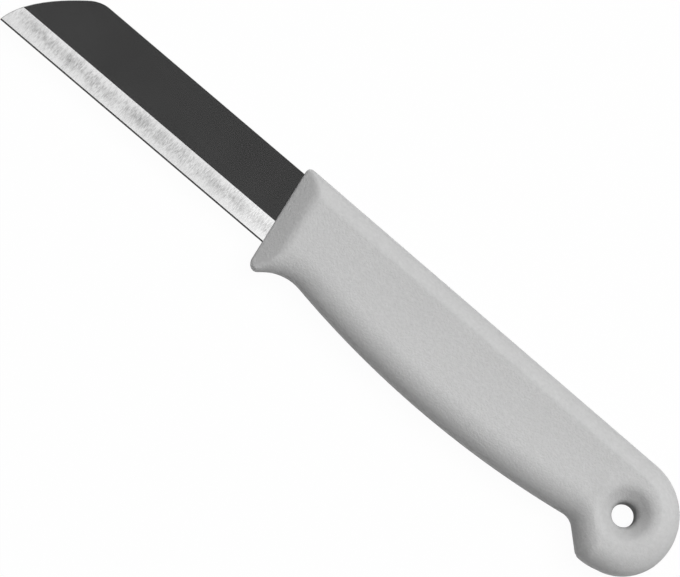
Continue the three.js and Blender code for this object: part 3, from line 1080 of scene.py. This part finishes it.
class PEELING_KNIFE_OT_handle(bpy.types.Operator):
    """Make the moulded handle round the tang"""

    bl_idname = "peeling_knife.handle"
    bl_label = "Handle"

    def execute(self, context):
        handle = context.scene.knife_handle
        blade = context.scene.knife_blade
        moulding = new_object("moulded_handle", handle_mesh(handle, blade))
        plastic = handle_plastic(handle, blade)
        moulding.data.materials.append(plastic)
        combine(moulding, steel_solid("cavity", blade, CAVITY_TRACE, [plastic]), "DIFFERENCE")
        tidy_mesh(moulding.data, PLASTIC_CREASE)
        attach(moulding, "root")
        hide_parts("handle")
        return {"FINISHED"}


def add_camera(stage):
    """The camera leans from overhead towards the belly, with the knife running down to the right."""
    back = Vector((0, -math.sin(stage.camera_tilt), math.cos(stage.camera_tilt)))
    along = Vector((1, 0, 0))
    across = back.cross(along)
    right = math.cos(stage.camera_roll) * along + math.sin(stage.camera_roll) * across
    up = back.cross(right)
    aim = HEEL + Vector((stage.aim_setback, stage.aim_rise, 0))
    data = bpy.data.cameras.new("camera")
    data.sensor_fit = "HORIZONTAL"
    data.lens = data.sensor_width * stage.camera_distance / stage.picture_width
    camera = bpy.data.objects.new("camera", data)
    camera.matrix_world = Matrix.LocRotScale(
        aim + back * stage.camera_distance, Matrix((right, up, back)).transposed(), None
    )
    bpy.context.scene.collection.objects.link(camera)
    bpy.context.scene.camera = camera


def add_lamp(name, tilt, bearing, size, watts):
    """A square soft lamp that faces the knife."""
    level = math.sin(tilt)
    towards = Vector((math.cos(bearing) * level, math.sin(bearing) * level, math.cos(tilt)))
    data = bpy.data.lights.new(name, "AREA")
    data.size = size
    data.energy = watts
    lamp = bpy.data.objects.new(name, data)
    lamp.location = towards * LAMP_DISTANCE
    lamp.rotation_euler = towards.to_track_quat("Z", "Y").to_euler()
    lamp.visible_glossy = False
    bpy.context.scene.collection.objects.link(lamp)


def add_world(stage):
    """An even room, which mirrors as white walls with a black card over the blade."""
    world = bpy.data.worlds.new("room")
    world.use_nodes = True
    nodes = Nodes(world.node_tree)
    seen = nodes.seen()
    direction = nodes.add("ShaderNodeTexCoord", output="Generated")
    card = (0, math.sin(stage.card_tilt), math.cos(stage.card_tilt))
    nearness = nodes.add(
        "ShaderNodeVectorMath", {"operation": "DOT_PRODUCT"}, {0: direction, 1: card}, output="Value"
    )
    limits = (math.cos(stage.card_edge), math.cos(stage.card_reach))
    walls = nodes.fade(nearness, limits, (1, stage.card_level))
    even = (stage.room_light, stage.room_light, stage.room_light, 1)
    light = nodes.mix_colour(seen, even, walls)
    shader = nodes.add("ShaderNodeBackground", {}, {"Color": light, "Strength": 1.0})
    nodes.finish(shader, "ShaderNodeOutputWorld")
    bpy.context.scene.world = world


def add_table(stage):
    """A wide pale table under the knife."""
    signs = ((-1, -1), (1, -1), (1, 1), (-1, 1))
    corners = [(x * TABLE_HALF, y * TABLE_HALF, 0) for x, y in signs]
    mesh = new_mesh("table", corners, [(0, 1, 2, 3)], [table_white(stage)])
    new_object("table", mesh)


class PEELING_KNIFE_OT_stage(bpy.types.Operator):
    """Set up the camera, the lamps, the room and the table"""

    bl_idname = "peeling_knife.stage"
    bl_label = "Stage"

    def execute(self, context):
        stage = context.scene.knife_stage
        context.scene.view_settings.view_transform = "Standard"
        add_camera(stage)
        add_lamp("key_lamp", stage.key_tilt, stage.key_bearing, stage.key_size, stage.key_power)
        add_lamp("spine_lamp", stage.spine_tilt, stage.spine_bearing, stage.spine_size, stage.spine_power)
        add_world(stage)
        add_table(stage)
        return {"FINISHED"}


class PEELING_KNIFE_PT_sidebar(bpy.types.Panel):
    """Lists the knife's pieces and their sizes"""

    bl_label = "Peeling Knife"
    bl_space_type = "VIEW_3D"
    bl_region_type = "UI"
    bl_category = "Peeling Knife"

    def draw(self, context):
        groups = (
            (PEELING_KNIFE_OT_blade, context.scene.knife_blade),
            (PEELING_KNIFE_OT_handle, context.scene.knife_handle),
            (PEELING_KNIFE_OT_stage, context.scene.knife_stage),
        )
        for operator, settings in groups:
            box = self.layout.box()
            box.operator(operator.bl_idname)
            for name in settings.__annotations__:
                box.prop(settings, name)


CLASSES = (
    BladeSettings,
    HandleSettings,
    StageSettings,
    PEELING_KNIFE_OT_blade,
    PEELING_KNIFE_OT_handle,
    PEELING_KNIFE_OT_stage,
    PEELING_KNIFE_PT_sidebar,
)


def register():
    """Adds the classes and their settings to Blender."""
    for cls in CLASSES:
        bpy.utils.register_class(cls)
    bpy.types.Scene.knife_blade = PointerProperty(type=BladeSettings)
    bpy.types.Scene.knife_handle = PointerProperty(type=HandleSettings)
    bpy.types.Scene.knife_stage = PointerProperty(type=StageSettings)


def unregister():
    """Takes the settings and the classes away again."""
    del bpy.types.Scene.knife_stage
    del bpy.types.Scene.knife_handle
    del bpy.types.Scene.knife_blade
    for cls in reversed(CLASSES):
        bpy.utils.unregister_class(cls)


def main():
    """Builds the knife and its stage."""
    register()
    bpy.ops.peeling_knife.blade()
    bpy.ops.peeling_knife.handle()
    bpy.ops.peeling_knife.stage()


if __name__ == "__main__":
    main()
